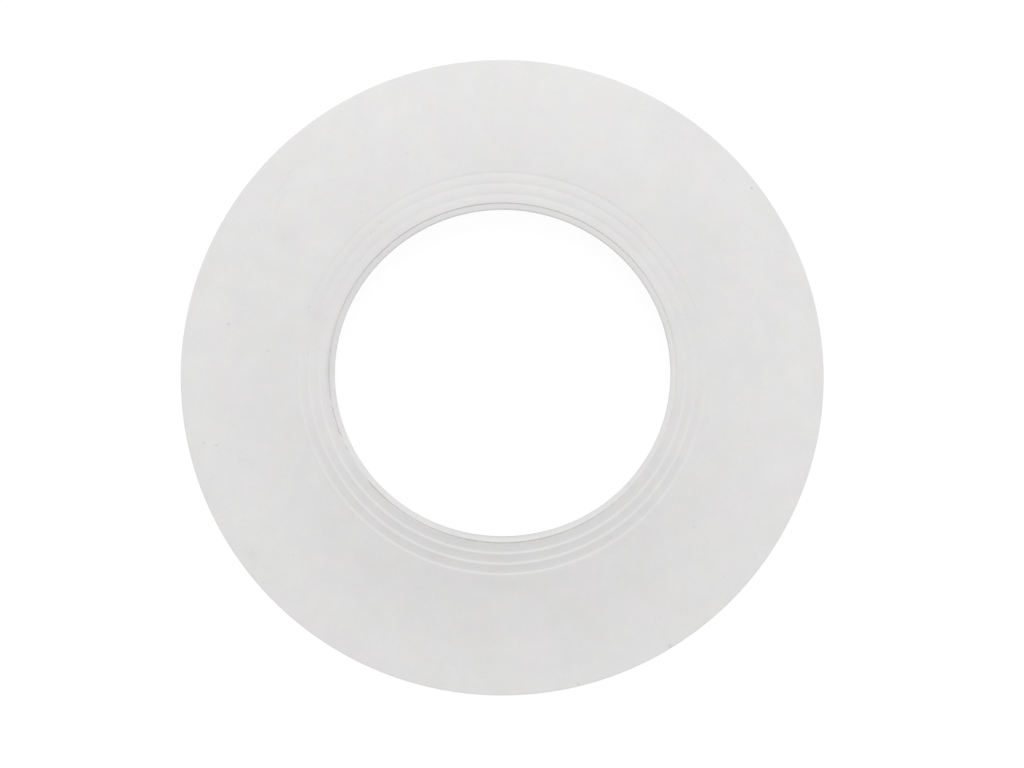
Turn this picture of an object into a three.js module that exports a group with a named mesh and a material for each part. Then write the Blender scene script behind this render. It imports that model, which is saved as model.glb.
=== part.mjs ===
// Pan connector cap: a soft white ring moulded in one piece. It slips over the 110 mm waste pipe
// behind a toilet pan and hides the rough hole round it. The thin conical flange stands off the
// wall on its flat rim, and three narrow ledges run round the cone beside the bore.
// Frame: origin at the middle of the bore in the plane of the wall, +Z out of the wall.
import * as THREE from 'three';

// Driving dimensions, in millimetres.
const outerDiameter = 200;
const boreDiameter = 103.5;
const wallThickness = 2.05;
const seatWidth = 2.5;
const rimTopRadius = 1.2;
const rimBottomRadius = 0.3;
const lipWidth = 1.65;
const lipEdgeRadius = 0.4;
const boreBackRadius = 0.4;
const partingWidth = 0.45;
const partingDepth = 0.5;
const ledgeCount = 3;
const ledgePitch = 3.2;
const ledgeWidth = 0.7;
const firstBandWidth = 2.5;

// Slopes, in degrees. The flange and the lip both fall away from the parting line.
const flangeSlope = 11;
const lipSlope = 8;
const ledgeRise = 1.5;
const bandCrown = 1.6;

// Facets round the ring, along each crowned band and along each small rounding.
const segmentsAround = 96;
const bandFacets = 4;
const roundingFacets = 4;

// A rounding takes no more than this share of the shorter of its two sides.
const longestRounding = 2 / 3;

const slopeOf = (degrees) => Math.tan(THREE.MathUtils.degToRad(degrees));
const flangeFall = slopeOf(flangeSlope);
const outerRadius = outerDiameter / 2;
const boreRadius = boreDiameter / 2;

// The cone's wall is measured square to its face; sections below use the vertical measure.
const wallHeight = wallThickness / Math.cos(THREE.MathUtils.degToRad(flangeSlope));
const rimHeight = wallHeight - seatWidth * flangeFall;

// Height of the outside and of the inside of the plain cone at a radius.
const coneTop = (radius) => rimHeight + (outerRadius - radius) * flangeFall;
const coneUnder = (radius) => coneTop(radius) - wallHeight;

const lipOuterRadius = boreRadius + lipWidth;
const bandStartRadius = lipOuterRadius + partingWidth;
const firstLedgeRadius = bandStartRadius + firstBandWidth;

// Adds a corner of the section rounded to a radius. The curve is tangent to both of its sides.
function addRoundedCorner(path, before, corner, after, radius) {
  const back = before.clone().sub(corner);
  const ahead = after.clone().sub(corner);
  const halfAngle = Math.acos(back.dot(ahead) / (back.length() * ahead.length())) / 2;
  const shorterSide = Math.min(back.length(), ahead.length());
  const reach = Math.min(radius / Math.tan(halfAngle), shorterSide * longestRounding);
  const start = corner.clone().addScaledVector(back.normalize(), reach);
  const end = corner.clone().addScaledVector(ahead.normalize(), reach);
  path.lineTo(start.x, start.y);
  const curve = new THREE.QuadraticBezierCurve(start, corner, end);
  for (const point of curve.getPoints(roundingFacets).slice(1)) path.lineTo(point.x, point.y);
}

// Adds one band of the stepped zone: a face that falls a little steeper than the cone and is
// slightly crowned, then a narrow ledge that rises to the plain cone again.
function addBandAndLedge(path, start, ledgeRadius) {
  const end = new THREE.Vector2(ledgeRadius + ledgeWidth, coneTop(ledgeRadius + ledgeWidth));
  const foot = new THREE.Vector2(ledgeRadius, end.y - ledgeWidth * slopeOf(ledgeRise));
  const fall = Math.atan2(start.y - foot.y, foot.x - start.x);
  const crown = THREE.MathUtils.degToRad(bandCrown);
  const middle = start.clone().add(foot).multiplyScalar(0.5);
  middle.y += ((foot.x - start.x) / 2) * (Math.tan(fall) - Math.tan(fall - crown));
  const face = new THREE.QuadraticBezierCurve(start, middle, foot);
  for (const point of face.getPoints(bandFacets).slice(1)) path.lineTo(point.x, point.y);
  path.lineTo(end.x, end.y);
  return end;
}

// The section of the ring, from the parting line at the top of the bore outwards over the flange,
// round the rim, and back under the cone to the bore.
function ringSection() {
  const crestHeight = coneTop(bandStartRadius);
  const groove = new THREE.Vector2(lipOuterRadius + partingWidth / 2, crestHeight - partingDepth);
  const lipOuter = new THREE.Vector2(lipOuterRadius, crestHeight);
  const lipInner = new THREE.Vector2(boreRadius, crestHeight - lipWidth * slopeOf(lipSlope));
  const rimTop = new THREE.Vector2(outerRadius, rimHeight);
  const rimBottom = new THREE.Vector2(outerRadius, 0);
  const seatInner = new THREE.Vector2(outerRadius - seatWidth, 0);
  const underBore = new THREE.Vector2(boreRadius, coneUnder(boreRadius));

  const path = new THREE.Path();
  path.moveTo(groove.x, groove.y);
  let bandStart = new THREE.Vector2(bandStartRadius, crestHeight);
  path.lineTo(bandStart.x, bandStart.y);
  for (let ledge = 0; ledge < ledgeCount; ledge += 1) {
    bandStart = addBandAndLedge(path, bandStart, firstLedgeRadius + ledge * ledgePitch);
  }
  addRoundedCorner(path, bandStart, rimTop, rimBottom, rimTopRadius);
  addRoundedCorner(path, rimTop, rimBottom, seatInner, rimBottomRadius);
  path.lineTo(seatInner.x, seatInner.y);
  addRoundedCorner(path, seatInner, underBore, lipInner, boreBackRadius);
  addRoundedCorner(path, underBore, lipInner, lipOuter, lipEdgeRadius);
  path.lineTo(lipOuter.x, lipOuter.y);
  path.lineTo(groove.x, groove.y);
  return path.getPoints(1);
}

function makeRing() {
  const rubber = new THREE.MeshStandardMaterial({
    color: new THREE.Color().setRGB(0.86, 0.86, 0.855, THREE.SRGBColorSpace),
    roughness: 0.55,
    metalness: 0,
  });
  const geometry = new THREE.LatheGeometry(ringSection().reverse(), segmentsAround);
  const ring = new THREE.Mesh(geometry, rubber);
  ring.name = 'cap_ring';
  // A lathe turns about Y, so the ring is stood up to turn about Z.
  ring.rotation.x = Math.PI / 2;
  return ring;
}

const panConnectorCap = new THREE.Group();
panConnectorCap.name = 'pan_connector_cap';
panConnectorCap.add(makeRing());

export default panConnectorCap;
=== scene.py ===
"""Pan connector cap: a soft white ring moulded in one piece, lying face up on a white studio floor.

The ring slips over the waste pipe behind a toilet pan and hides the rough hole round the pipe. Its
section is drawn as a flat blank, cut into the lip, the parting line and the stepped bands, rounded
at its corners and spun round the bore. The finish is white rubber, slightly marked by handling.
"""

import logging
import math
from collections.abc import Callable, Iterator
from dataclasses import dataclass
from enum import Enum

import bmesh
import bpy
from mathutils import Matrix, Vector


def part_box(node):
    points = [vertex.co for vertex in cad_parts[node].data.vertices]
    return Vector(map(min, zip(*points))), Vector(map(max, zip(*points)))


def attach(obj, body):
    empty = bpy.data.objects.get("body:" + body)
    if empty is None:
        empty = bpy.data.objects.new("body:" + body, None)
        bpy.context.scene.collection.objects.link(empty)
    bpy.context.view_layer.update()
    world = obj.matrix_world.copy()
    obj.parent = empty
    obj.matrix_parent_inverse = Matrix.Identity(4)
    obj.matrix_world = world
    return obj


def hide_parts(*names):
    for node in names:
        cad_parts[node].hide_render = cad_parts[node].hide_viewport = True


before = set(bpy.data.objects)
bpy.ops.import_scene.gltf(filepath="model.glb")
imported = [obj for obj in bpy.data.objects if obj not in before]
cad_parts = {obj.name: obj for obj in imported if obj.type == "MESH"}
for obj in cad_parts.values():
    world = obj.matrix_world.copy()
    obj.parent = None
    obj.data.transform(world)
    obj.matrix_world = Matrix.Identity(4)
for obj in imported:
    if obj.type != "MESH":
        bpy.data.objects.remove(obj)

LOG = logging.getLogger("pan_connector_cap")

MM = 0.001
NODE = "cap_ring"
BODY = "root"

# Sockets of a Mix node that mixes two colours.
MIX_SHARE, MIX_FIRST, MIX_SECOND, MIX_RESULT = 0, 6, 7, 2

Socket = bpy.types.NodeSocket
Source = Socket | float | tuple[float, ...]
Triple = tuple[float, float, float]
Colour = tuple[float, float, float, float]

ORIGIN: Triple = (0.0, 0.0, 0.0)


def held(value: float) -> float:
    """Keeps a value between zero and one."""
    return min(1.0, max(0.0, value))


def eased(share: float) -> float:
    """Eases a share between zero and one, so that it starts and ends level."""
    return share * share * (3 - 2 * share)


def degrees_round(place: Vector) -> float:
    """Gives a place's angle round from +X, from 0 to 360 degrees."""
    return math.degrees(math.atan2(place.y, place.x)) % 360.0


def on_plan(radius: float, angle: float) -> Vector:
    """Gives the place at a radius in millimetres and an angle in degrees, seen from above."""
    turn = math.radians(angle)
    return Vector((radius * MM * math.cos(turn), radius * MM * math.sin(turn), 0.0))


def grey(level: float) -> Colour:
    """Gives an even grey, from black at zero to white at one."""
    return (level, level, level, 1.0)


@dataclass(frozen=True)
class CapSizes:
    """Sizes of the moulding in metres and radians. The first three come from the frame."""

    rim_radius: float
    crest_height: float
    bore_radius: float
    flange_slope: float = math.radians(11.0)
    seat_width: float = 2.5 * MM
    rim_undercut: float = 0.28 * MM
    rim_margin: float = 0.6 * MM
    lip_width: float = 1.6 * MM
    lip_slope: float = math.radians(10.0)
    parting_width: float = 0.5 * MM
    parting_depth: float = 0.35 * MM
    first_band_width: float = 2.5 * MM
    ledge_pitch: float = 3.2 * MM
    ledge_width: float = 0.7 * MM
    ledge_rise: float = math.radians(12.0)
    ledge_count: int = 3
    band_crown: float = math.radians(1.6)
    band_facets: int = 5

    @classmethod
    def from_frame(cls) -> "CapSizes":
        """Reads the rim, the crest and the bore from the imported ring.

        Returns:
            The sizes of the moulding.
        """
        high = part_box(NODE)[1]
        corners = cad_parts[NODE].data.vertices
        bore = min(math.hypot(corner.co.x, corner.co.y) for corner in corners)
        return cls(rim_radius=high.x, crest_height=high.z, bore_radius=bore)

    @property
    def fall(self) -> float:
        """Height that the flange loses for each metre outwards."""
        return math.tan(self.flange_slope)

    @property
    def seat_inner(self) -> float:
        """Radius where the flat seat under the rim begins."""
        return self.rim_radius - self.seat_width

    @property
    def lip_radius(self) -> float:
        """Radius where the lip meets the parting line."""
        return self.bore_radius + self.lip_width

    @property
    def band_start(self) -> float:
        """Radius where the parting line meets the first band."""
        return self.lip_radius + self.parting_width

    @property
    def last_ledge_end(self) -> float:
        """Radius where the plain flange begins."""
        return self.ledge_foot(self.ledge_count - 1) + self.ledge_width

    def ledge_foot(self, ledge: int) -> float:
        """Radius where a ledge starts, counted from the bore."""
        return self.band_start + self.first_band_width + ledge * self.ledge_pitch

    def off_parting(self, radius: float) -> float:
        """Distance of a radius from the middle of the parting line."""
        return abs(radius - self.lip_radius - self.parting_width / 2)

    def cone_height(self, radius: float) -> float:
        """Height above the wall of the plain cone's outside at a radius."""
        return self.crest_height - (radius - self.band_start) * self.fall

    def under_height(self, radius: float) -> float:
        """Height above the wall of the cone's inside at a radius, which is zero over the seat."""
        return max(0.0, (self.seat_inner - radius) * self.fall)

    def is_outside(self, place: Vector) -> bool:
        """Says whether a place lies on the outside of the cone rather than on its inside."""
        radius = math.hypot(place.x, place.y)
        return place.z > (self.cone_height(radius) + self.under_height(radius)) / 2


class Rounding(Enum):
    """Rounded corners of the section: how far each reaches along its sides, and its facets."""

    RIM_TOP = (0.25 * MM, 4)
    RIM_FOOT = (0.30 * MM, 3)
    LIP_TOP = (0.35 * MM, 4)
    LIP_FOOT = (0.35 * MM, 3)
    LEDGE = (0.13 * MM, 2)
    PARTING = (0.12 * MM, 3)


@dataclass(frozen=True)
class Station:
    """One cut across the section, and the height that its top corner is brought to."""

    radius: float
    height: float
    rounding: Rounding | None = None


@dataclass(frozen=True)
class Nudge:
    """A stretch of the soft lip that sits out of true, pushed along one axis.

    The angle of its middle and its spread are in degrees, the other sizes in metres. The push is
    whole up to the inner radius and fades to nothing at the outer one.
    """

    angle: float
    spread: float
    inner: float
    outer: float
    axis: str
    push: float

    def share(self, place: Vector) -> float:
        """Says how much of the push reaches a place.

        Args:
            place: A corner of the ring.

        Returns:
            One for the whole push, zero for none.
        """
        turn = (math.degrees(math.atan2(place.y, place.x)) - self.angle + 180.0) % 360.0 - 180.0
        radius = math.hypot(place.x, place.y)
        fade = held((self.outer - radius) / (self.outer - self.inner))
        return eased(fade) * math.exp(-((turn / self.spread) ** 2))


@dataclass(frozen=True)
class PartingTone:
    """How dark and how open the parting line is at one angle, in degrees round from +X."""

    angle: float
    dirt_and_shade: float
    depth: float


@dataclass(frozen=True)
class Smudge:
    """A soft patch on the ring that bends with it, darker or lighter than the rubber round it.

    The radius and the sizes are in millimetres, the angle in degrees round from +X. The tone is the
    share of the light that the patch takes away.
    """

    radius: float
    angle: float
    along: float
    across: float
    tone: float

    def at(self, radius: float, angle: float) -> float:
        """Gives what the patch adds to the darkening of a place.

        Args:
            radius: The place's distance from the axis, in metres.
            angle: Its angle round from +X, in radians.

        Returns:
            The share of the light that is taken away there.
        """
        turn = math.remainder(angle - math.radians(self.angle), 2 * math.pi)
        across = (radius / MM - self.radius) / self.across
        along = turn * self.radius / self.along
        return self.tone * math.exp(-(across * across + along * along))


@dataclass(frozen=True)
class Speck:
    """A small dark fleck pressed into the surface, placed as a smudge is."""

    radius: float
    angle: float
    size: float
    tone: float


@dataclass(frozen=True)
class Streak:
    """A faint straight stroke rubbed into the surface, placed as smudges are.

    The size is half its width, in millimetres.
    """

    radius: float
    angle: float
    end_radius: float
    end_angle: float
    size: float
    tone: float

    def ends(self) -> tuple[Vector, Vector]:
        """Gives where the stroke starts and ends, in metres."""
        return on_plan(self.radius, self.angle), on_plan(self.end_radius, self.end_angle)


class EditBench:
    """One mesh held open in edit mode, with its corners picked by their place."""

    def __init__(self, piece: bpy.types.Object) -> None:
        """Remembers the mesh object to work on."""
        self.piece = piece

    def __enter__(self) -> "EditBench":
        """Opens the piece alone in edit mode.

        Returns:
            The bench.
        """
        bpy.ops.object.select_all(action="DESELECT")
        self.piece.select_set(True)
        bpy.context.view_layer.objects.active = self.piece
        bpy.ops.object.mode_set(mode="EDIT")
        bpy.ops.mesh.select_mode(type="VERT")
        return self

    def __exit__(self, *_: object) -> None:
        """Closes edit mode."""
        bpy.ops.object.mode_set(mode="OBJECT")

    def pick(self, wanted: Callable[[Vector], bool]) -> None:
        """Selects the corners that pass a test, and the edges between them.

        Args:
            wanted: Takes a corner's place and says whether it is picked.
        """
        bpy.ops.mesh.select_all(action="DESELECT")
        mesh = bmesh.from_edit_mesh(self.piece.data)
        for corner in mesh.verts:
            corner.select_set(wanted(corner.co))
        mesh.select_flush(True)
        bmesh.update_edit_mesh(self.piece.data)

    def cut(self, radius: float) -> None:
        """Cuts the whole section with an upright plane that crosses the X axis at a radius."""
        bpy.ops.mesh.select_all(action="SELECT")
        bpy.ops.mesh.bisect(plane_co=(radius, 0.0, 0.0), plane_no=(1.0, 0.0, 0.0))

    def lift(self, height: float) -> None:
        """Moves what is selected up or down."""
        bpy.ops.transform.translate(value=(0.0, 0.0, height))

    def divide(self, cuts: int) -> None:
        """Divides the selected edges."""
        bpy.ops.mesh.subdivide(number_cuts=cuts)

    def round_corner(self, rounding: Rounding) -> None:
        """Rounds the selected corners of a flat section."""
        reach, facets = rounding.value
        bpy.ops.mesh.bevel(offset=reach, offset_type="OFFSET", segments=facets, affect="VERTICES")


@dataclass
class SectionDrawing:
    """The ring's section, drawn upright in the XZ plane as one flat face."""

    sizes: CapSizes
    near: float = 0.002 * MM
    flange_cuts: int = 30
    under_cuts: int = 16
    lip_cuts: int = 3
    clear_of_ledge: float = 0.1 * MM
    clear_of_rim: float = 0.9 * MM
    clear_of_seat: float = 2 * MM
    lip_edge: float = 0.2

    def draw(self) -> bpy.types.Object:
        """Draws the blank, cuts its steps, rounds its corners and leaves the bare outline.

        Returns:
            The outline as a closed loop of edges.
        """
        blank = self._add_blank()
        with EditBench(blank) as bench:
            self._lean_blank(bench)
            self._cut_stations(bench)
            self._bring_to_height(bench)
            bpy.ops.mesh.select_all(action="SELECT")
            bpy.ops.mesh.dissolve_faces(use_verts=False)
            self._round_corners(bench)
            bpy.ops.mesh.select_all(action="SELECT")
            bpy.ops.mesh.delete(type="ONLY_FACE")
            self._divide_long_sides(bench)
        return blank

    def _add_blank(self) -> bpy.types.Object:
        """Adds an upright rectangle from the bore to the rim, as high as the rim's side.

        Returns:
            The rectangle.
        """
        sizes = self.sizes
        width = sizes.rim_radius - sizes.bore_radius
        height = sizes.cone_height(sizes.rim_radius)
        middle = ((sizes.rim_radius + sizes.bore_radius) / 2, 0.0, height / 2)
        upright = (math.pi / 2, 0.0, 0.0)
        bpy.ops.object.select_all(action="DESELECT")
        bpy.ops.mesh.primitive_plane_add(size=1.0, location=middle, rotation=upright)
        blank = bpy.context.object
        blank.name = "cap_moulding"
        blank.data.name = "cap_moulding"
        bpy.ops.transform.resize(value=(width, 1.0, height))
        bpy.ops.object.transform_apply(location=True, rotation=True, scale=True)
        return blank

    def _is_at(self, place: Vector, radius: float) -> bool:
        """Says whether a corner lies at a radius."""
        return abs(place.x - radius) < self.near

    def _pick_top(self, bench: EditBench, radius: float) -> None:
        """Picks the top corner at a radius."""
        bench.pick(lambda place: self._is_at(place, radius) and self.sizes.is_outside(place))

    def _lean_blank(self, bench: EditBench) -> None:
        """Marks off the seat, lifts the bore's end into a cone's wall and undercuts the rim.

        Args:
            bench: The bench that holds the blank.
        """
        sizes, near = self.sizes, self.near
        rim, bore, seat_inner = sizes.rim_radius, sizes.bore_radius, sizes.seat_inner
        rim_height = sizes.cone_height(rim)
        bench.cut(seat_inner)
        bench.pick(lambda place: self._is_at(place, seat_inner) and place.z > near)
        bench.lift(sizes.cone_height(seat_inner) - rim_height)
        bench.pick(lambda place: self._is_at(place, bore) and place.z > near)
        bench.lift(sizes.cone_height(bore) - rim_height)
        bench.pick(lambda place: self._is_at(place, bore) and place.z < near)
        bench.lift(sizes.under_height(bore))
        bench.pick(lambda place: place.x > rim - near and place.z < near)
        bpy.ops.transform.translate(value=(-sizes.rim_undercut, 0.0, 0.0))

    def _cut_stations(self, bench: EditBench) -> None:
        """Cuts the plain wall at every station, except at the bore, where it already ends.

        Args:
            bench: The bench that holds the blank.
        """
        for station in self._stations():
            if station.radius > self.sizes.bore_radius + self.near:
                bench.cut(station.radius)

    def _bring_to_height(self, bench: EditBench) -> None:
        """Brings the top corner at every station to the station's height.

        Args:
            bench: The bench that holds the blank.
        """
        for station in self._stations():
            self._pick_top(bench, station.radius)
            bench.lift(station.height - self.sizes.cone_height(station.radius))

    def _stations(self) -> Iterator[Station]:
        """Gives the lip, the parting line, each band with the ledge beyond it, and the rim.

        Yields:
            Each station, mostly outwards from the bore.
        """
        sizes = self.sizes
        crest = sizes.crest_height
        parting_middle = sizes.lip_radius + sizes.parting_width / 2
        lip_drop = sizes.lip_width * math.tan(sizes.lip_slope)
        yield Station(sizes.band_start, crest, Rounding.PARTING)
        yield Station(parting_middle, crest - sizes.parting_depth, Rounding.PARTING)
        yield Station(sizes.lip_radius, crest, Rounding.PARTING)
        yield Station(sizes.bore_radius, crest - lip_drop, Rounding.LIP_TOP)
        start = Vector((sizes.band_start, crest))
        for ledge in range(sizes.ledge_count):
            foot_radius = sizes.ledge_foot(ledge)
            end_radius = foot_radius + sizes.ledge_width
            end = Vector((end_radius, sizes.cone_height(end_radius)))
            foot = Vector((foot_radius, end.y - sizes.ledge_width * math.tan(sizes.ledge_rise)))
            yield from self._band_stations(start, foot)
            yield Station(foot.x, foot.y, Rounding.LEDGE)
            yield Station(end.x, end.y, Rounding.LEDGE)
            start = end
        last = sizes.rim_radius - sizes.rim_margin
        yield Station(last, sizes.cone_height(last))

    def _band_stations(self, start: Vector, foot: Vector) -> Iterator[Station]:
        """Gives the stations inside one band, which is slightly crowned between its ends.

        Args:
            start: The band's inner end, as radius and height.
            foot: Its outer end, at the foot of the ledge.

        Yields:
            Each station between the two ends.
        """
        sizes = self.sizes
        crown = (foot.x - start.x) * math.tan(sizes.band_crown) / 4
        for facet in range(1, sizes.band_facets):
            share = facet / sizes.band_facets
            place = start.lerp(foot, share)
            yield Station(place.x, place.y + 4 * share * (1 - share) * crown)

    def _round_corners(self, bench: EditBench) -> None:
        """Rounds the corners of the steps, the lip and the rim.

        Args:
            bench: The bench that holds the section.
        """
        sizes, near = self.sizes, self.near
        for station in list(self._stations()):
            if station.rounding:
                self._pick_top(bench, station.radius)
                bench.round_corner(station.rounding)
        rim, bore = sizes.rim_radius, sizes.bore_radius
        half_rim = sizes.cone_height(rim) / 2
        under_bore = sizes.under_height(bore)
        bench.pick(lambda place: place.x > rim - near and place.z > half_rim)
        bench.round_corner(Rounding.RIM_TOP)
        bench.pick(lambda place: place.x > rim - 2 * sizes.rim_undercut and place.z < near)
        bench.round_corner(Rounding.RIM_FOOT)
        bench.pick(lambda place: place.x < bore + near and place.z < under_bore + near)
        bench.round_corner(Rounding.LIP_FOOT)

    def _divide_long_sides(self, bench: EditBench) -> None:
        """Divides the long sides of the outline, so that they can be softened later.

        Args:
            bench: The bench that holds the outline.
        """
        sizes = self.sizes
        outside = sizes.is_outside
        flange_start = sizes.last_ledge_end + self.clear_of_ledge
        flange_end = sizes.rim_radius - self.clear_of_rim
        under_start = sizes.last_ledge_end - self.near
        under_end = sizes.rim_radius - self.clear_of_seat
        lip_start = sizes.bore_radius + self.lip_edge * sizes.lip_width
        lip_end = sizes.lip_radius - 2 * self.near
        bench.pick(lambda place: flange_start < place.x < flange_end and outside(place))
        bench.divide(self.flange_cuts)
        bench.pick(lambda place: under_start < place.x < under_end and not outside(place))
        bench.divide(self.under_cuts)
        bench.pick(lambda place: lip_start < place.x < lip_end and outside(place))
        bench.divide(self.lip_cuts)


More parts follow.
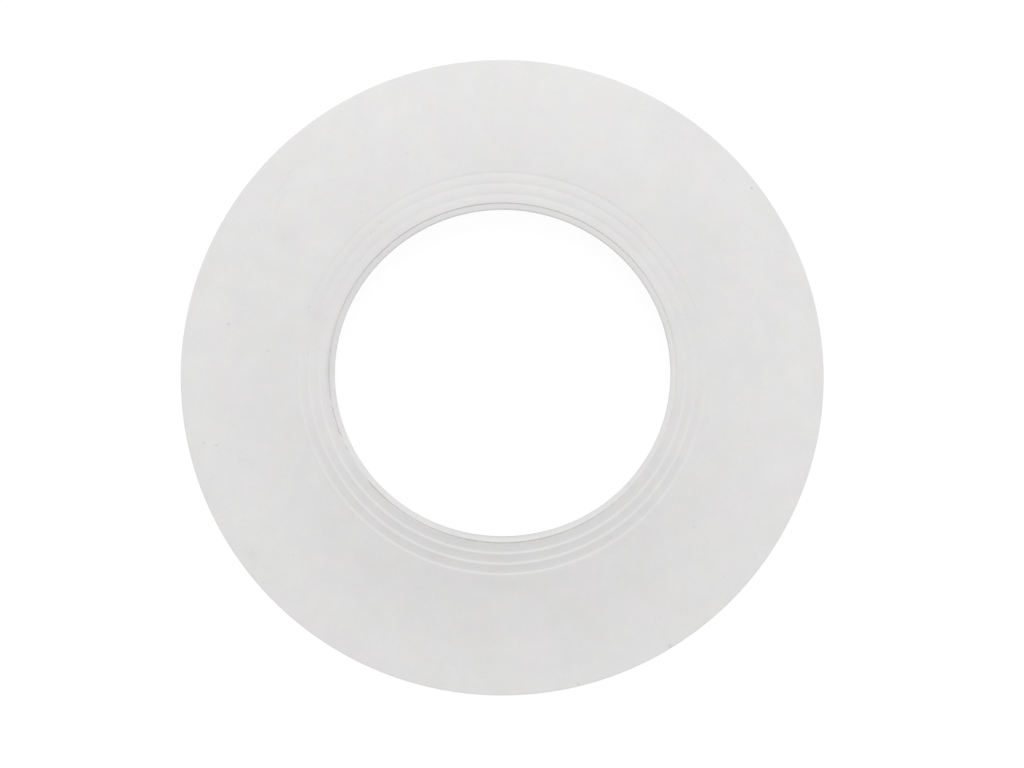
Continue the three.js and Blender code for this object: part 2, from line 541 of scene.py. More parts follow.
@dataclass
class CapMoulding:
    """The whole ring: its shape, the places where the soft lip sits out of true, its stains and its
    painted light and shade.
    """

    sizes: CapSizes
    steps: int = 600
    smooth_angle: float = math.radians(40.0)
    weld: float = 0.001 * MM
    soft_dip: float = 0.25 * MM
    soft_scale: float = 60 * MM
    soft_reach: float = 12 * MM
    lip_shift: Triple = (0.15 * MM, -0.42 * MM, 0.0)
    lip_oval: Triple = (1.005, 0.9935, 1.0)
    lip_fade: float = 8.0 * MM
    lip_margin: float = 0.01 * MM
    worn_width: float = 0.3 * MM
    worn_fade: float = 0.5 * MM
    worn_height: float = 0.35 * MM
    worn_scale: float = 1.3 * MM
    torn_from: float = 168.0
    torn_to: float = 206.0
    slightly_worn: float = 0.3
    # Toning of the steps: a painted highlight on the ledges, a lighter lip and ledge feet, and
    # darker band starts, weakest at the sides.
    least_at_sides: float = 0.3
    lip_lightening: float = -0.025
    ledge_highlight: float = -0.028
    foot_lightening: float = -0.036
    foot_reach: float = 0.7 * MM
    trough_darkening: float = 0.035
    trough_reach: float = 1.6 * MM
    nudges: tuple[Nudge, ...] = (
        Nudge(130.0, 25.0, 53.9 * MM, 56.2 * MM, "X", 0.2 * MM),
        Nudge(270.0, 50.0, 51.8 * MM, 53.2 * MM, "Y", 0.4 * MM),
    )
    # Darkening of the parting line round the ring, partly stain and partly painted shade in the
    # crease, and how open it is.
    parting: tuple[PartingTone, ...] = (
        PartingTone(0.0, 0.28, 0.4),
        PartingTone(25.0, 0.45, 0.6),
        PartingTone(60.0, 0.45, 0.9),
        PartingTone(105.0, 0.5, 1.0),
        PartingTone(135.0, 0.5, 1.0),
        PartingTone(150.0, 0.4, 0.8),
        PartingTone(166.0, 0.45, 0.8),
        PartingTone(175.0, 0.5, 0.7),
        PartingTone(187.0, 0.7, 0.8),
        PartingTone(189.3, 0.5, 0.7),
        PartingTone(190.2, 0.05, 0.1),
        PartingTone(191.2, 0.3, 0.4),
        PartingTone(192.5, 0.9, 0.9),
        PartingTone(196.0, 0.6, 0.8),
        PartingTone(201.0, 0.9, 0.8),
        PartingTone(203.0, 0.1, 0.1),
        PartingTone(205.0, 0.05, 0.05),
        PartingTone(206.6, 1.0, 0.7),
        PartingTone(208.0, 0.1, 0.1),
        PartingTone(212.0, 0.2, 0.15),
        PartingTone(214.0, 0.05, 0.05),
        PartingTone(218.0, 0.05, 0.1),
        PartingTone(220.5, 0.9, 0.8),
        PartingTone(224.0, 0.9, 1.0),
        PartingTone(235.0, 0.4, 0.7),
        PartingTone(245.0, 0.4, 0.7),
        PartingTone(260.0, 0.8, 1.0),
        PartingTone(275.0, 0.7, 1.0),
        PartingTone(300.0, 0.5, 0.8),
        PartingTone(312.0, 0.4, 0.5),
        PartingTone(325.0, 0.2, 0.3),
        PartingTone(333.0, 0.5, 0.2),
        PartingTone(336.0, 0.1, 0.2),
        PartingTone(345.5, 0.5, 0.2),
        PartingTone(349.0, 0.1, 0.2),
        PartingTone(360.0, 0.28, 0.4),
    )
    smudges: tuple[Smudge, ...] = (
        # Broad patches on the flange and along the rim.
        Smudge(82.0, 85.0, 75.0, 26.0, 0.006),
        Smudge(83.0, 94.0, 9.0, 6.0, 0.009),
        Smudge(94.0, 66.0, 26.0, 7.0, 0.014),
        Smudge(98.0, 46.0, 10.0, 4.0, 0.014),
        Smudge(96.5, 26.0, 12.0, 5.0, 0.020),
        Smudge(98.3, 197.0, 8.0, 3.0, 0.020),
        Smudge(93.5, 131.0, 12.0, 5.0, 0.016),
        Smudge(73.0, 57.0, 5.0, 5.0, 0.010),
        Smudge(73.0, 101.0, 6.0, 6.0, 0.013),
        Smudge(81.0, 68.0, 6.0, 5.0, 0.012),
        Smudge(66.8, 273.0, 14.0, 2.0, 0.027),
        Smudge(86.2, 276.0, 26.0, 4.5, -0.014),
        Smudge(69.0, 167.0, 8.0, 4.0, -0.012),
        Smudge(64.8, 148.0, 8.0, 3.0, -0.012),
        Smudge(94.9, 248.0, 6.0, 4.0, 0.014),
        Smudge(98.4, 108.0, 8.0, 2.5, -0.010),
        Smudge(87.8, 209.0, 9.0, 4.5, -0.012),
        Smudge(93.3, 220.0, 5.0, 4.0, -0.012),
        Smudge(88.5, 3.0, 7.0, 4.5, -0.012),
        Smudge(86.5, 97.0, 6.0, 4.0, 0.011),
        Smudge(88.7, 240.0, 6.0, 4.0, -0.011),
        Smudge(76.0, 347.0, 12.0, 6.0, -0.006),
        Smudge(66.0, 208.0, 6.0, 4.0, -0.015),
        Smudge(65.0, 62.0, 9.0, 5.0, 0.018),
        Smudge(72.0, 55.0, 4.0, 3.0, 0.010),
        Smudge(76.0, 35.0, 8.0, 5.0, 0.011),
        Smudge(74.0, 22.0, 8.0, 4.0, 0.009),
        Smudge(80.0, 3.0, 6.0, 4.0, 0.006),
        Smudge(80.0, 148.0, 9.0, 6.0, 0.010),
        Smudge(80.0, 33.0, 9.0, 7.0, 0.012),
        Smudge(97.5, 155.0, 22.0, 3.0, 0.014),
        Smudge(97.5, 14.0, 8.0, 4.0, 0.014),
        Smudge(99.0, 180.0, 22.0, 0.5, 0.020),
        Smudge(97.3, 180.0, 18.0, 1.8, 0.008),
        # Painted light over the shaded side of the rim in front.
        Smudge(99.0, 270.0, 60.0, 1.0, -0.010),
        Smudge(99.7, 270.0, 60.0, 0.3, -0.016),
        Smudge(80.0, 272.0, 22.0, 16.0, 0.009),
        Smudge(84.0, 168.0, 5.0, 3.0, 0.009),
        Smudge(95.9, 216.0, 5.0, 3.5, 0.012),
        # Small marks on the flange.
        Smudge(95.6, 216.0, 2.5, 1.7, 0.034),
        Smudge(81.5, 147.9, 2.0, 1.8, 0.022),
        Smudge(83.2, 198.5, 3.0, 2.0, 0.026),
        Smudge(66.2, 214.5, 3.5, 1.5, -0.024),
        Smudge(67.8, 132.3, 3.0, 1.5, -0.022),
        Smudge(81.7, 117.0, 2.0, 1.5, 0.024),
        Smudge(68.0, 80.0, 3.5, 1.5, -0.018),
        Smudge(92.5, 283.0, 5.0, 1.5, 0.020),
        Smudge(77.3, 228.5, 2.0, 1.5, 0.022),
        # More broad patches on the flange.
        Smudge(71.0, 242.0, 9.0, 5.0, 0.010),
        Smudge(79.0, 224.0, 7.0, 5.0, 0.012),
        Smudge(78.0, 306.0, 9.0, 6.0, 0.009),
        Smudge(82.0, 291.0, 6.0, 4.0, 0.009),
        Smudge(95.0, 316.0, 8.0, 5.0, 0.013),
        Smudge(96.0, 302.0, 6.0, 4.0, 0.012),
        Smudge(92.0, 78.0, 10.0, 5.0, -0.010),
        Smudge(79.0, 129.0, 6.0, 6.0, -0.012),
        Smudge(70.0, 143.0, 6.0, 5.0, -0.009),
        Smudge(67.0, 158.0, 6.0, 4.0, -0.012),
        Smudge(70.0, 163.0, 6.0, 5.0, -0.014),
        Smudge(92.0, 178.0, 8.0, 6.0, -0.014),
        Smudge(76.0, 209.0, 17.0, 14.0, -0.024),
        Smudge(89.0, 206.0, 8.0, 5.0, -0.010),
        Smudge(67.0, 228.0, 10.0, 4.0, -0.014),
        Smudge(94.0, 252.0, 16.0, 8.0, -0.020),
        Smudge(66.0, 339.0, 6.0, 5.0, -0.011),
        Smudge(78.0, 348.0, 14.0, 9.0, -0.013),
        Smudge(85.0, 347.0, 9.0, 6.0, -0.012),
        Smudge(68.0, 27.0, 10.0, 4.0, -0.009),
        # The stepped zone: paler at both sides, and a little darker in front.
        Smudge(62.0, 0.0, 22.0, 9.0, -0.013),
        Smudge(58.5, 0.0, 18.0, 4.5, -0.012),
        Smudge(62.0, 182.0, 26.0, 8.0, -0.018),
        Smudge(58.5, 183.0, 22.0, 4.5, -0.018),
        Smudge(56.0, 201.0, 17.0, 3.0, -0.030),
        Smudge(55.5, 168.0, 12.0, 2.5, -0.016),
        Smudge(56.0, 330.0, 12.0, 3.0, -0.014),
        Smudge(60.0, 270.0, 26.0, 7.0, 0.009),
        # The lip: a painted highlight in front, painted shade back left and right; fainter ledge
        # highlights at left.
        Smudge(52.6, 270.0, 34.0, 0.9, -0.023),
        Smudge(52.5, 22.0, 22.0, 0.9, 0.016),
        Smudge(52.5, 158.0, 36.0, 0.9, 0.028),
        Smudge(52.5, 98.0, 9.0, 0.9, -0.015),
        Smudge(56.85, 187.0, 32.0, 0.5, 0.026),
        Smudge(60.05, 187.0, 34.0, 0.5, 0.026),
        Smudge(63.25, 187.0, 36.0, 0.5, 0.023),
        # Marks on the steps and the lip, and painted shade along the bore's edge and on the lip at
        # the left.
        Smudge(58.3, 344.0, 2.5, 0.6, 0.020),
        Smudge(56.6, 0.0, 20.0, 0.5, -0.008),
        Smudge(54.55, 180.0, 1.3, 0.3, 0.050),
        # Painted shade along the rounded edge of the bore.
        Smudge(51.75, 268.0, 24.0, 0.35, 0.220),
        Smudge(51.75, 327.0, 7.0, 0.25, 0.120),
        Smudge(51.75, 10.0, 8.0, 0.3, 0.100),
        Smudge(52.3, 318.0, 0.5, 0.4, 0.080),
        Smudge(54.2, 344.7, 1.0, 0.3, 0.030),
        Smudge(54.1, 333.0, 1.3, 0.3, 0.050),
        Smudge(58.6, 171.0, 5.0, 0.8, 0.022),
        Smudge(59.6, 163.0, 4.0, 0.7, 0.016),
        Smudge(57.2, 176.0, 4.0, 0.7, 0.018),
        Smudge(60.6, 152.0, 3.0, 0.8, 0.012),
        # Painted shade on the lip beside the parting line, at the left and back left.
        Smudge(52.9, 176.0, 11.0, 1.1, 0.042),
        Smudge(53.4, 177.0, 8.0, 0.5, 0.040),
        Smudge(53.2, 150.0, 16.0, 0.7, 0.060),
        Smudge(52.5, 193.0, 12.0, 0.9, 0.010),
        Smudge(52.1, 90.0, 20.0, 0.3, -0.025),
        Smudge(53.2, 90.0, 20.0, 0.2, 0.030),
        Smudge(54.1, 177.0, 13.0, 0.35, 0.065),
        Smudge(53.1, 178.0, 10.0, 0.4, 0.018),
        Smudge(54.0, 268.0, 34.0, 0.28, 0.045),
        Smudge(53.3, 272.0, 20.0, 0.2, -0.025),
        # Short marks across the steps, on the flange and at the rim.
        Smudge(61.5, 296.0, 0.3, 1.6, 0.030),
        Smudge(60.5, 276.0, 0.4, 1.2, 0.020),
        Smudge(55.2, 275.0, 0.5, 0.6, 0.030),
        Smudge(71.8, 287.9, 0.9, 0.4, 0.040),
        Smudge(97.0, 301.9, 0.5, 1.0, 0.030),
        Smudge(99.2, 309.8, 1.2, 0.5, 0.030),
    )

    def build(self) -> bpy.types.Object:
        """Spins the section into the ring, softens it and paints its stains and its painted light
        and shade.

        Returns:
            The finished ring.
        """
        ring = SectionDrawing(self.sizes).draw()
        self._spin(ring)
        self._paint(ring)
        self._wear_parting(ring)
        self._settle_lip(ring)
        self._sag(ring)
        bpy.ops.object.shade_smooth_by_angle(angle=self.smooth_angle)
        return ring

    def _spin(self, ring: bpy.types.Object) -> None:
        """Turns the outline once round the bore and closes the seam.

        Args:
            ring: The outline, which becomes the ring.
        """
        with EditBench(ring):
            bpy.ops.mesh.select_all(action="SELECT")
            bpy.ops.mesh.spin(
                steps=self.steps,
                angle=2 * math.pi,
                center=ORIGIN,
                axis=(0.0, 0.0, 1.0),
                use_auto_merge=True,
            )
            bpy.ops.mesh.select_all(action="SELECT")
            bpy.ops.mesh.remove_doubles(threshold=self.weld)
            bpy.ops.mesh.normals_make_consistent(inside=False)

    def _settle_lip(self, ring: bpy.types.Object) -> None:
        """Draws the soft lip slightly oval and off centre, and pushes stretches out of true.

        Args:
            ring: The ring.
        """
        edge = self.sizes.lip_radius + self.lip_margin
        soft = {
            "use_proportional_edit": True,
            "proportional_edit_falloff": "SMOOTH",
            "proportional_size": self.lip_fade,
        }
        with EditBench(ring) as bench:
            bench.pick(lambda place: math.hypot(place.x, place.y) < edge)
            bpy.ops.transform.resize(value=self.lip_oval, center_override=ORIGIN, **soft)
            bpy.ops.transform.translate(value=self.lip_shift, **soft)
        for nudge in self.nudges:
            self._displace(ring, "nudge", nudge.share, nudge.axis, nudge.push)

    def _wear_parting(self, ring: bpy.types.Object) -> None:
        """Closes the parting line where it hardly shows, and roughens its edges.

        Args:
            ring: The ring.
        """
        sizes = self.sizes

        def closed(place: Vector) -> float:
            """Gives how far the line is closed. Only its bottom rises."""
            return max(0.0, 1.0 - self._tone(place).depth) * self._depth_in_line(place)

        def ragged(place: Vector) -> float:
            """Gives how rough a place is, which is most beside the torn stretch of the line.

            Args:
                place: A corner of the ring.

            Returns:
                One for the whole roughness, zero for none.
            """
            if not sizes.is_outside(place):
                return 0.0
            off_line = sizes.off_parting(math.hypot(place.x, place.y))
            away = max(0.0, off_line - self.worn_width)
            is_torn = self.torn_from < degrees_round(place) < self.torn_to
            return (1.0 if is_torn else self.slightly_worn) * max(0.0, 1.0 - away / self.worn_fade)

        self._displace(ring, "closed", closed, "Z", sizes.parting_depth)
        self._displace(ring, "ragged", ragged, "RGB_TO_XYZ", self.worn_height, self.worn_scale)

    def _sag(self, ring: bpy.types.Object) -> None:
        """Gives the flange the slight unevenness of a soft moulding. The rim stays on its seat.

        Args:
            ring: The ring.
        """

        def slack(place: Vector) -> float:
            """Gives how free a place is to sag, which fades to nothing at the seat."""
            return held((self.sizes.seat_inner - math.hypot(place.x, place.y)) / self.soft_reach)

        self._displace(ring, "slack", slack, "Z", -self.soft_dip, self.soft_scale, level=0.0)

    def _displace(
        self,
        ring: bpy.types.Object,
        name: str,
        weight: Callable[[Vector], float],
        direction: str,
        strength: float,
        scale: float = 0.0,
        level: float = 0.5,
    ) -> None:
        """Moves part of the ring with a Displace modifier and applies it.

        Args:
            ring: The ring.
            name: Name of the modifier, its texture and its group of corners.
            weight: Takes a corner's place and says how much of the move it gets.
            direction: Direction of the modifier.
            strength: The move, in metres.
            scale: Size of the unevenness, in metres, or zero for an even move.
            level: Value of the texture that moves nothing.
        """
        group = ring.vertex_groups.new(name=name)
        for corner in ring.data.vertices:
            share = weight(corner.co)
            if share > 0.0:
                group.add([corner.index], share, "REPLACE")
        modifier = ring.modifiers.new(name, "DISPLACE")
        modifier.vertex_group = name
        modifier.direction = direction
        modifier.strength = strength
        modifier.mid_level = level if scale else 0.0
        if scale:
            clouds = bpy.data.textures.new(name, "CLOUDS")
            clouds.noise_scale = scale
            clouds.cloud_type = "COLOR" if direction == "RGB_TO_XYZ" else "GRAYSCALE"
            modifier.texture = clouds
        bpy.ops.object.modifier_apply(modifier=modifier.name)
        ring.vertex_groups.remove(ring.vertex_groups[name])

    def _tone(self, place: Vector) -> PartingTone:
        """Gives the parting line's tone at a place, eased between the two nearest angles.

        Args:
            place: A corner of the ring.

        Returns:
            The tone at its angle.
        """
        angle = degrees_round(place)
        for before, after in zip(self.parting, self.parting[1:]):
            if before.angle <= angle <= after.angle:
                share = eased((angle - before.angle) / (after.angle - before.angle))
                dirt_and_shade = before.dirt_and_shade + (after.dirt_and_shade - before.dirt_and_shade) * share
                depth = before.depth + (after.depth - before.depth) * share
                return PartingTone(angle, dirt_and_shade, depth)
        return self.parting[0]

    def _paint(self, ring: bpy.types.Object) -> None:
        """Stores the parting line's stain and painted shade, and the smudges and painted light, for
        the finish to read.

        Args:
            ring: The ring.
        """
        mesh = ring.data
        parting = mesh.attributes.new("parting_dirt_and_shade", "FLOAT", "POINT")
        soiling_and_painted_light = mesh.attributes.new("soiling_and_painted_light", "FLOAT", "POINT")
        for index, corner in enumerate(mesh.vertices):
            depth = self._depth_in_line(corner.co)
            parting.data[index].value = depth * self._tone(corner.co).dirt_and_shade if depth else 0.0
            soiling_and_painted_light.data[index].value = self._soiling_and_painted_light(corner.co)

    def _depth_in_line(self, place: Vector) -> float:
        """Gives how deep a place lies in the parting line.

        Args:
            place: A corner of the ring.

        Returns:
            One at the bottom of the line, zero outside it.
        """
        sizes = self.sizes
        off_line = sizes.off_parting(math.hypot(place.x, place.y))
        if off_line > sizes.parting_width / 2 or not sizes.is_outside(place):
            return 0.0
        return min(1.0, (sizes.crest_height - place.z) / sizes.parting_depth)

    def _soiling_and_painted_light(self, place: Vector) -> float:
        """Gives the smudges and painted light at a place. The inside of the cone has none.

        Args:
            place: A corner of the ring.

        Returns:
            The share of the light that is taken away, less than zero where the place is painted
            lighter.
        """
        if not self.sizes.is_outside(place):
            return 0.0
        radius = math.hypot(place.x, place.y)
        angle = math.atan2(place.y, place.x)
        patches = sum(smudge.at(radius, angle) for smudge in self.smudges)
        return patches + self._steps_toning(radius, angle)

    def _steps_toning(self, radius: float, angle: float) -> float:
        """Gives the steps' toning: painted highlights on the ledges, a lighter lip and feet, darker
        band starts.

        Args:
            radius: Distance from the axis, in metres.
            angle: Angle round from +X, in radians. The toning is weakest at the sides.

        Returns:
            The share of the light that is taken away, less than zero where the place is painted
            lighter.
        """
        # The lip is lighter all round.
        if radius < self.sizes.lip_radius:
            return self.lip_lightening
        # The toning is strongest at the front and back, along the lamp's axis, and weakest at the
        # sides.
        front_back_share = self.least_at_sides + (1 - self.least_at_sides) * math.sin(angle) ** 2
        start = self.sizes.band_start
        for ledge in range(self.sizes.ledge_count):
            foot = self.sizes.ledge_foot(ledge)
            if radius < foot:
                # Each band is darker at its start and lighter towards the ledge's foot.
                darker_start = self.trough_darkening * math.exp(-abs(radius - start) / self.trough_reach)
                lighter_foot = self.foot_lightening * math.exp((radius - foot) / self.foot_reach)
                return front_back_share * (darker_start + lighter_foot)
            start = foot + self.sizes.ledge_width
            if radius < start:
                # Painted highlight along the ledge.
                return front_back_share * self.ledge_highlight
        return 0.0


@dataclass(frozen=True)
class Noise:
    """Soft noise, and the stretch of its values that is mapped to a finish.

    The size is that of its largest features, in metres. The detail is how many finer layers it
    has, and the roughness how strong each of them is.
    """

    size: float
    detail: float
    roughness: float
    low: float = 0.25
    high: float = 0.75


class NodeSheet:
    """Adds, sets and joins the nodes of one material or world."""

    def __init__(self, owner: bpy.types.Material | bpy.types.World) -> None:
        """Clears the nodes of a material or world.

        Args:
            owner: The material or world.
        """
        owner.use_nodes = True
        self.tree = owner.node_tree
        self.tree.nodes.clear()

    def add(self, kind: str, **options: object) -> bpy.types.Node:
        """Adds a node.

        Args:
            kind: The node's type.
            **options: Properties of the node.

        Returns:
            The new node.
        """
        node = self.tree.nodes.new(kind)
        for name, value in options.items():
            setattr(node, name, value)
        return node

    def feed(self, socket: Socket, source: Source) -> None:
        """Joins a socket to another, or sets its value.

        Args:
            socket: The input.
            source: An output socket or a plain value.
        """
        if isinstance(source, bpy.types.NodeSocket):
            self.tree.links.new(source, socket)
        else:
            socket.default_value = source

    def finish(self, kind: str, shader: Socket) -> None:
        """Adds the output node of a material or world and joins a shader to it."""
        self.feed(self.add(kind).inputs["Surface"], shader)

    def stored(self, name: str) -> Socket:
        """Reads a value that is stored on the mesh."""
        return self.add("ShaderNodeAttribute", attribute_name=name).outputs["Fac"]

    def math(self, operation: str, first: Source, second: Source, clamp: bool = False) -> Socket:
        """Adds a Math node.

        Args:
            operation: The sum that it does.
            first: First value.
            second: Second value.
            clamp: Keeps the result between zero and one.

        Returns:
            The result.
        """
        node = self.add("ShaderNodeMath", operation=operation, use_clamp=clamp)
        self.feed(node.inputs[0], first)
        self.feed(node.inputs[1], second)
        return node.outputs[0]

    def vector(self, operation: str, first: Source, second: Source = ORIGIN) -> bpy.types.Node:
        """Adds a Vector Math node.

        Args:
            operation: The sum that it does.
            first: First vector.
            second: Second vector, for the sums that take one.

        Returns:
            The node.
        """
        node = self.add("ShaderNodeVectorMath", operation=operation)
        self.feed(node.inputs[0], first)
        self.feed(node.inputs[1], second)
        return node

    def scaled(self, vector: Source, scale: Source) -> Socket:
        """Scales a vector.

        Args:
            vector: The vector.
            scale: What it is multiplied by.

        Returns:
            The scaled vector.
        """
        node = self.vector("SCALE", vector)
        self.feed(node.inputs["Scale"], scale)
        return node.outputs[0]

    def span(self, value: Source, low: float, high: float, first: float, last: float) -> Socket:
        """Maps a range of values smoothly to another.

        Args:
            value: What is mapped.
            low: Start of its range.
            high: End of its range.
            first: Result at the start.
            last: Result at the end.

        Returns:
            The mapped value.
        """
        node = self.add("ShaderNodeMapRange", interpolation_type="SMOOTHSTEP")
        for socket, source in zip(node.inputs[:5], (value, low, high, first, last)):
            self.feed(socket, source)
        return node.outputs[0]

    def noise(self, place: Source, noise: Noise) -> bpy.types.Node:
        """Adds soft noise.

        Args:
            place: Where it is read.
            noise: Its size and layers.

        Returns:
            The node. Its first output is one value, about one half, and its second output is three
            that differ from one another.
        """
        node = self.add("ShaderNodeTexNoise")
        self.feed(node.inputs["Vector"], place)
        node.inputs["Scale"].default_value = 1.0 / noise.size
        node.inputs["Detail"].default_value = noise.detail
        node.inputs["Roughness"].default_value = noise.roughness
        return node

    def varied(self, place: Source, noise: Noise, first: float, last: float) -> Socket:
        """Varies a value softly from place to place.

        Args:
            place: Where the noise is read.
            noise: The noise.
            first: Result at and below the low end of the noise.
            last: Result at and above its high end.

        Returns:
            The value.
        """
        value = self.noise(place, noise).outputs[0]
        return self.span(value, noise.low, noise.high, first, last)

    def split_rays(self, lit: Socket, seen: Socket) -> Socket:
        """Gives the light one shader and the camera another, also mirrored or through glass.

        Args:
            lit: The shader for the light that reaches surfaces.
            seen: The shader that the camera sees.

        Returns:
            The joined shader.
        """
        rays = self.add("ShaderNodeLightPath").outputs
        mirrored = self.math("MAXIMUM", rays["Is Camera Ray"], rays["Is Glossy Ray"])
        is_seen = self.math("MAXIMUM", mirrored, rays["Is Transmission Ray"])
        choice = self.add("ShaderNodeMixShader")
        for socket, source in zip(choice.inputs, (is_seen, lit, seen)):
            self.feed(socket, source)
        return choice.outputs[0]


@dataclass(frozen=True)
class WhiteRubber:
    """Soft white rubber, marked by handling: matt, faintly mottled, with a few dark flecks."""

    base: float = 0.743
    tint: Triple = (1.0095, 0.998, 0.9957)
    tint_spread: Triple = (0.05, 0.08, 0.095)
    # Colour of the parting line's stain and painted crease shade.
    dirt_and_shade_colour: Colour = (0.22, 0.11, 0.09, 1.0)
    dirt_and_shade_cover: float = 0.33
    least_broken: float = 0.4
    rim_gain: float = 0.055
    gain_start: float = 58 * MM
    gain_end: float = 99 * MM
    mottle: float = 0.028
    grain: float = 0.023
    smoothest: float = 0.50
    roughest: float = 0.62
    refraction: float = 1.45
    shine: float = 0.35
    bump: float = 0.35
    bump_height: float = 0.02 * MM
    speck_core: float = 0.25
    streak_core: float = 0.2
    stains: Noise = Noise(12 * MM, 5.0, 0.9)
    breaks: Noise = Noise(1.6 * MM, 2.0, 0.6, 0.3, 0.6)
    patches: Noise = Noise(22 * MM, 3.0, 0.55)
    clouds: Noise = Noise(7 * MM, 3.0, 0.6)
    grains: Noise = Noise(0.65 * MM, 1.0, 0.5)
    rubbing: Noise = Noise(14 * MM, 3.0, 0.5, 0.3, 0.7)
    mould_grain: Noise = Noise(0.5 * MM, 2.0, 0.5)
    specks: tuple[Speck, ...] = (
        Speck(97.7, 37.2, 0.55, 0.26),
        Speck(91.5, 194.0, 0.50, 0.2),
        Speck(95.0, 193.0, 0.50, 0.15),
        Speck(86.5, 169.5, 0.75, 0.11),
        Speck(73.0, 174.5, 0.55, 0.125),
        Speck(60.4, 128.6, 0.40, 0.18),
        Speck(59.7, 133.1, 0.40, 0.15),
        Speck(75.4, 113.0, 0.45, 0.11),
        Speck(63.2, 161.0, 0.40, 0.125),
        Speck(76.4, 321.0, 0.45, 0.12),
        Speck(61.7, 303.0, 0.45, 0.13),
        Speck(90.4, 28.7, 0.40, 0.1),
        Speck(66.7, 131.0, 0.40, 0.13),
        Speck(92.6, 41.5, 0.45, 0.1),
        Speck(60.3, 174.5, 0.35, 0.15),
        Speck(65.0, 306.0, 0.40, 0.075),
        Speck(72.5, 243.0, 0.40, 0.075),
        Speck(56.3, 141.3, 0.35, 0.12),
        Speck(91.5, 297.0, 0.40, 0.09),
        Speck(86.0, 221.2, 0.40, 0.08),
        Speck(68.4, 38.2, 0.40, 0.12),
        Speck(59.6, 40.2, 0.40, 0.12),
        Speck(95.1, 67.3, 0.40, 0.11),
        Speck(99.2, 301.5, 1.0, 0.13),
        Speck(99.3, 283.7, 0.70, 0.12),
        Speck(93.4, 317.5, 0.45, 0.085),
        Speck(88.6, 312.4, 0.40, 0.07),
        Speck(90.4, 302.8, 0.40, 0.09),
        Speck(99.4, 315.7, 0.40, 0.1),
        Speck(96.1, 314.9, 0.40, 0.05),
        Speck(58.1, 302.2, 0.40, 0.06),
        Speck(61.6, 310.0, 0.40, 0.06),
        Speck(85.2, 115.4, 0.35, 0.09),
        Speck(87.2, 25.8, 0.35, 0.08),
        Speck(80.9, 356.6, 0.35, 0.085),
        Speck(86.3, 96.8, 0.35, 0.075),
        Speck(80.0, 52.8, 0.35, 0.08),
        Speck(70.0, 8.8, 0.40, 0.075),
        Speck(67.7, 231.7, 0.35, 0.085),
        Speck(71.4, 243.6, 0.35, 0.07),
        Speck(88.2, 149.0, 0.80, 0.032),
        Speck(90.8, 150.2, 0.60, 0.026),
    )
    streaks: tuple[Streak, ...] = (
        Streak(92.1, 132.4, 92.0, 136.2, 0.6, 0.018),
        Streak(92.0, 135.6, 90.3, 140.6, 0.7, 0.020),
        Streak(91.0, 138.2, 91.2, 143.6, 0.6, 0.011),
        Streak(88.9, 139.6, 87.1, 144.4, 0.6, 0.020),
        Streak(89.9, 148.2, 88.3, 149.2, 0.6, 0.018),
    )

    def material(self) -> bpy.types.Material:
        """Builds the material.

        Returns:
            The finished material.
        """
        material = bpy.data.materials.new("white_rubber")
        sheet = NodeSheet(material)
        place = sheet.add("ShaderNodeTexCoord").outputs["Object"]
        shader = sheet.add("ShaderNodeBsdfPrincipled")
        shader.inputs["IOR"].default_value = self.refraction
        shader.inputs["Specular IOR Level"].default_value = self.shine
        sheet.feed(shader.inputs["Base Color"], self._colour(sheet, place))
        sheet.feed(shader.inputs["Roughness"], self._gloss(sheet, place))
        sheet.feed(shader.inputs["Normal"], self._relief(sheet, place))
        sheet.finish("ShaderNodeOutputMaterial", shader.outputs[0])
        return material

    def _colour(self, sheet: NodeSheet, place: Socket) -> Socket:
        """Joins the tone, the tint, and the parting line's stain and painted shade into the colour.

        Args:
            sheet: The material's nodes.
            place: The place on the ring.

        Returns:
            The colour.
        """
        stains = sheet.noise(place, self.stains).outputs[1]
        change = sheet.vector("MULTIPLY", stains, self.tint_spread).outputs[0]
        lowest = tuple(middle - spread / 2 for middle, spread in zip(self.tint, self.tint_spread))
        tint = sheet.vector("ADD", change, lowest).outputs[0]
        # The parting line darkened: stain and painted shade in the crease.
        cover = sheet.math("MULTIPLY", sheet.stored("parting_dirt_and_shade"), self.dirt_and_shade_cover)
        broken = sheet.varied(place, self.breaks, self.least_broken, 1.0)
        dirt_and_shaded = sheet.add("ShaderNodeMix", data_type="RGBA")
        sheet.feed(dirt_and_shaded.inputs[MIX_SHARE], sheet.math("MULTIPLY", cover, broken, clamp=True))
        sheet.feed(dirt_and_shaded.inputs[MIX_FIRST], sheet.scaled(tint, self._tone(sheet, place)))
        sheet.feed(dirt_and_shaded.inputs[MIX_SECOND], self.dirt_and_shade_colour)
        return dirt_and_shaded.outputs[MIX_RESULT]

    def _tone(self, sheet: NodeSheet, place: Socket) -> Socket:
        """Works out how light the rubber is: lighter outwards, mottled, grained and flecked.

        Args:
            sheet: The material's nodes.
            place: The place on the ring.

        Returns:
            The share of the light that the rubber gives back.
        """
        flat = sheet.vector("MULTIPLY", place, (1.0, 1.0, 0.0)).outputs[0]
        radius = sheet.vector("LENGTH", flat).outputs["Value"]
        gain = self.rim_gain / 2
        outward = sheet.span(radius, self.gain_start, self.gain_end, 1.0 - gain, 1.0 + gain)
        tone = sheet.math("MULTIPLY", outward, self.base)
        for noise, strength in (
            (self.patches, self.mottle),
            (self.clouds, self.mottle),
            (self.grains, self.grain),
        ):
            change = sheet.varied(place, noise, 1.0 - strength / 2, 1.0 + strength / 2)
            tone = sheet.math("MULTIPLY", tone, change)
        unsoiled = sheet.math("SUBTRACT", 1.0, sheet.stored("soiling_and_painted_light"))
        tone = sheet.math("MULTIPLY", tone, unsoiled)
        return sheet.math("MULTIPLY", tone, self._flecks(sheet, flat))

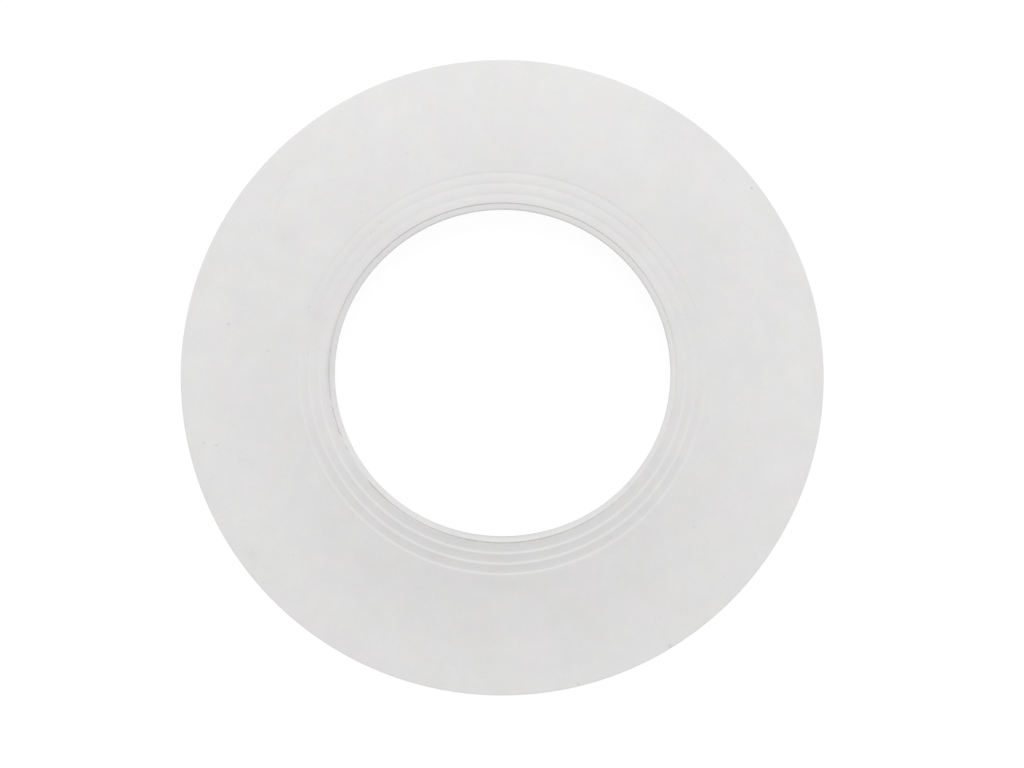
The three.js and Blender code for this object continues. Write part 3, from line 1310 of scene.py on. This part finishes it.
    def _flecks(self, sheet: NodeSheet, flat: Socket) -> Socket:
        """Darkens a small spot for each speck and a line for each streak.

        Args:
            sheet: The material's nodes.
            flat: The place seen from above.

        Returns:
            The share of the light that the marks leave.
        """
        clean: Source = 1.0
        for speck in self.specks:
            middle = tuple(on_plan(speck.radius, speck.angle))
            away = sheet.vector("DISTANCE", flat, middle).outputs["Value"]
            spot = self._light_left(sheet, away, speck, self.speck_core)
            clean = sheet.math("MULTIPLY", spot, clean)
        for streak in self.streaks:
            away = self._off_streak(sheet, flat, streak)
            stroke = self._light_left(sheet, away, streak, self.streak_core)
            clean = sheet.math("MULTIPLY", stroke, clean)
        return clean

    @staticmethod
    def _light_left(sheet: NodeSheet, away: Socket, mark: Speck | Streak, core: float) -> Socket:
        """Gives the light that a mark leaves, from least within its core to all at its edge."""
        return sheet.span(away, core * mark.size * MM, mark.size * MM, 1.0 - mark.tone, 1.0)

    def _off_streak(self, sheet: NodeSheet, flat: Socket, streak: Streak) -> Socket:
        """Gives the distance from a streak.

        Args:
            sheet: The material's nodes.
            flat: The place seen from above.
            streak: The streak.

        Returns:
            The distance from its nearest point, in metres.
        """
        start, end = streak.ends()
        along = end - start
        passed = sheet.vector("SUBTRACT", flat, tuple(start)).outputs[0]
        share = sheet.vector("DOT_PRODUCT", passed, tuple(along / along.length_squared))
        within = sheet.math("ADD", share.outputs["Value"], 0.0, clamp=True)
        nearest = sheet.scaled(tuple(along), within)
        return sheet.vector("DISTANCE", passed, nearest).outputs["Value"]

    def _gloss(self, sheet: NodeSheet, place: Socket) -> Socket:
        """Varies the roughness a little where the rubber is worn."""
        return sheet.varied(place, self.rubbing, self.smoothest, self.roughest)

    def _relief(self, sheet: NodeSheet, place: Socket) -> Socket:
        """Adds the fine grain of the mould.

        Args:
            sheet: The material's nodes.
            place: The place on the ring.

        Returns:
            The bumped surface direction.
        """
        bump = sheet.add("ShaderNodeBump")
        bump.inputs["Strength"].default_value = self.bump
        bump.inputs["Distance"].default_value = self.bump_height
        sheet.feed(bump.inputs["Height"], sheet.noise(place, self.mould_grain).outputs[0])
        return bump.outputs[0]


@dataclass(frozen=True)
class StudioFloor:
    """A plain white floor. The camera sees it white, and it keeps the object's shadow."""

    size: float = 40.0
    albedo: float = 0.9
    seen_albedo: float = 0.1
    seen_glow: float = 0.93

    def build(self) -> bpy.types.Object:
        """Lays the floor under the rim.

        Returns:
            The floor.
        """
        bpy.ops.object.select_all(action="DESELECT")
        bpy.ops.mesh.primitive_plane_add(size=self.size, location=ORIGIN)
        floor = bpy.context.object
        floor.name = "studio_floor"
        floor.data.materials.append(self._material())
        return floor

    def _material(self) -> bpy.types.Material:
        """Builds the floor's material, which differs for the light and for the camera.

        Returns:
            The finished material.
        """
        material = bpy.data.materials.new("studio_floor")
        sheet = NodeSheet(material)
        plain = sheet.add("ShaderNodeBsdfDiffuse")
        plain.inputs["Color"].default_value = grey(self.albedo)
        seen = sheet.add("ShaderNodeBsdfDiffuse")
        seen.inputs["Color"].default_value = grey(self.seen_albedo)
        glow = sheet.add("ShaderNodeEmission")
        glow.inputs["Strength"].default_value = self.seen_glow
        bright = sheet.add("ShaderNodeAddShader")
        sheet.feed(bright.inputs[0], seen.outputs[0])
        sheet.feed(bright.inputs[1], glow.outputs[0])
        both = sheet.split_rays(plain.outputs[0], bright.outputs[0])
        sheet.finish("ShaderNodeOutputMaterial", both)
        return material


@dataclass(frozen=True)
class StudioLight:
    """Soft light from all round, and one large lamp beyond the far side of the ring."""

    ambient: float = 0.775
    backdrop: float = 1.0
    lamp_power: float = 11.6
    lamp_size: float = 1.3
    lamp_distance: float = 1.9
    lamp_elevation: float = math.radians(48.0)
    lamp_azimuth: float = math.radians(84.0)

    def build(self) -> None:
        """Sets the world and adds the lamp."""
        self._light_world()
        self._hang_lamp()

    def _light_world(self) -> None:
        """Gives an even white world, which the camera sees as plain white."""
        world = bpy.data.worlds.new("studio")
        bpy.context.scene.world = world
        sheet = NodeSheet(world)
        soft = sheet.add("ShaderNodeBackground")
        soft.inputs["Strength"].default_value = self.ambient
        white = sheet.add("ShaderNodeBackground")
        white.inputs["Strength"].default_value = self.backdrop
        for background in (soft, white):
            background.inputs["Color"].default_value = grey(1.0)
        both = sheet.split_rays(soft.outputs[0], white.outputs[0])
        sheet.finish("ShaderNodeOutputWorld", both)

    def _hang_lamp(self) -> None:
        """Hangs the lamp and aims it at the bore."""
        data = bpy.data.lights.new("studio_lamp", "AREA")
        data.shape = "SQUARE"
        data.size = self.lamp_size
        data.energy = self.lamp_power
        lamp = bpy.data.objects.new("studio_lamp", data)
        bpy.context.scene.collection.objects.link(lamp)
        outward = math.cos(self.lamp_elevation)
        lamp.location = self.lamp_distance * Vector((
            outward * math.cos(self.lamp_azimuth),
            outward * math.sin(self.lamp_azimuth),
            math.sin(self.lamp_elevation),
        ))
        lamp.rotation_euler = (-lamp.location).to_track_quat("-Z", "Y").to_euler()


@dataclass(frozen=True)
class PhotoCamera:
    """A long lens that looks down on the ring, nearly square to the floor."""

    lens: float = 282.5
    sensor: float = 36.0
    distance: float = 2.5
    elevation: float = math.radians(81.35)
    frame_pixels: tuple[int, int] = (1024, 768)
    bore_pixel: tuple[float, float] = (502.2, 376.4)

    def build(self) -> bpy.types.Object:
        """Adds the camera and makes it the scene's.

        Returns:
            The camera.
        """
        data = bpy.data.cameras.new("photo_camera")
        data.lens = self.lens
        data.sensor_width = self.sensor
        camera = bpy.data.objects.new("photo_camera", data)
        bpy.context.scene.collection.objects.link(camera)
        back = Vector((0.0, -math.cos(self.elevation), math.sin(self.elevation)))
        turn = (-back).to_track_quat("-Z", "Y")
        pixel = self.distance * self.sensor / (self.lens * self.frame_pixels[0])
        right = (self.frame_pixels[0] / 2 - self.bore_pixel[0]) * pixel
        down = (self.frame_pixels[1] / 2 - self.bore_pixel[1]) * pixel
        aim = turn @ Vector((right, -down, 0.0))
        camera.location = aim + back * self.distance
        camera.rotation_euler = turn.to_euler()
        bpy.context.scene.camera = camera
        return camera


def dress_ring() -> bpy.types.Object:
    """Builds the ring, gives it its finish and sets it on the frame.

    Returns:
        The ring.
    """
    ring = CapMoulding(CapSizes.from_frame()).build()
    ring.data.materials.clear()
    ring.data.materials.append(WhiteRubber().material())
    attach(ring, BODY)
    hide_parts(NODE)
    LOG.info("%s: %d faces", ring.name, len(ring.data.polygons))
    return ring


def main() -> None:
    """Builds the ring, the studio and the camera in order."""
    logging.basicConfig(level=logging.INFO, format="%(name)s %(message)s")
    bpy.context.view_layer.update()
    PhotoCamera().build()
    dress_ring()
    StudioFloor().build()
    StudioLight().build()
    bpy.context.scene.view_settings.view_transform = "Standard"


if __name__ == "__main__":
    main()
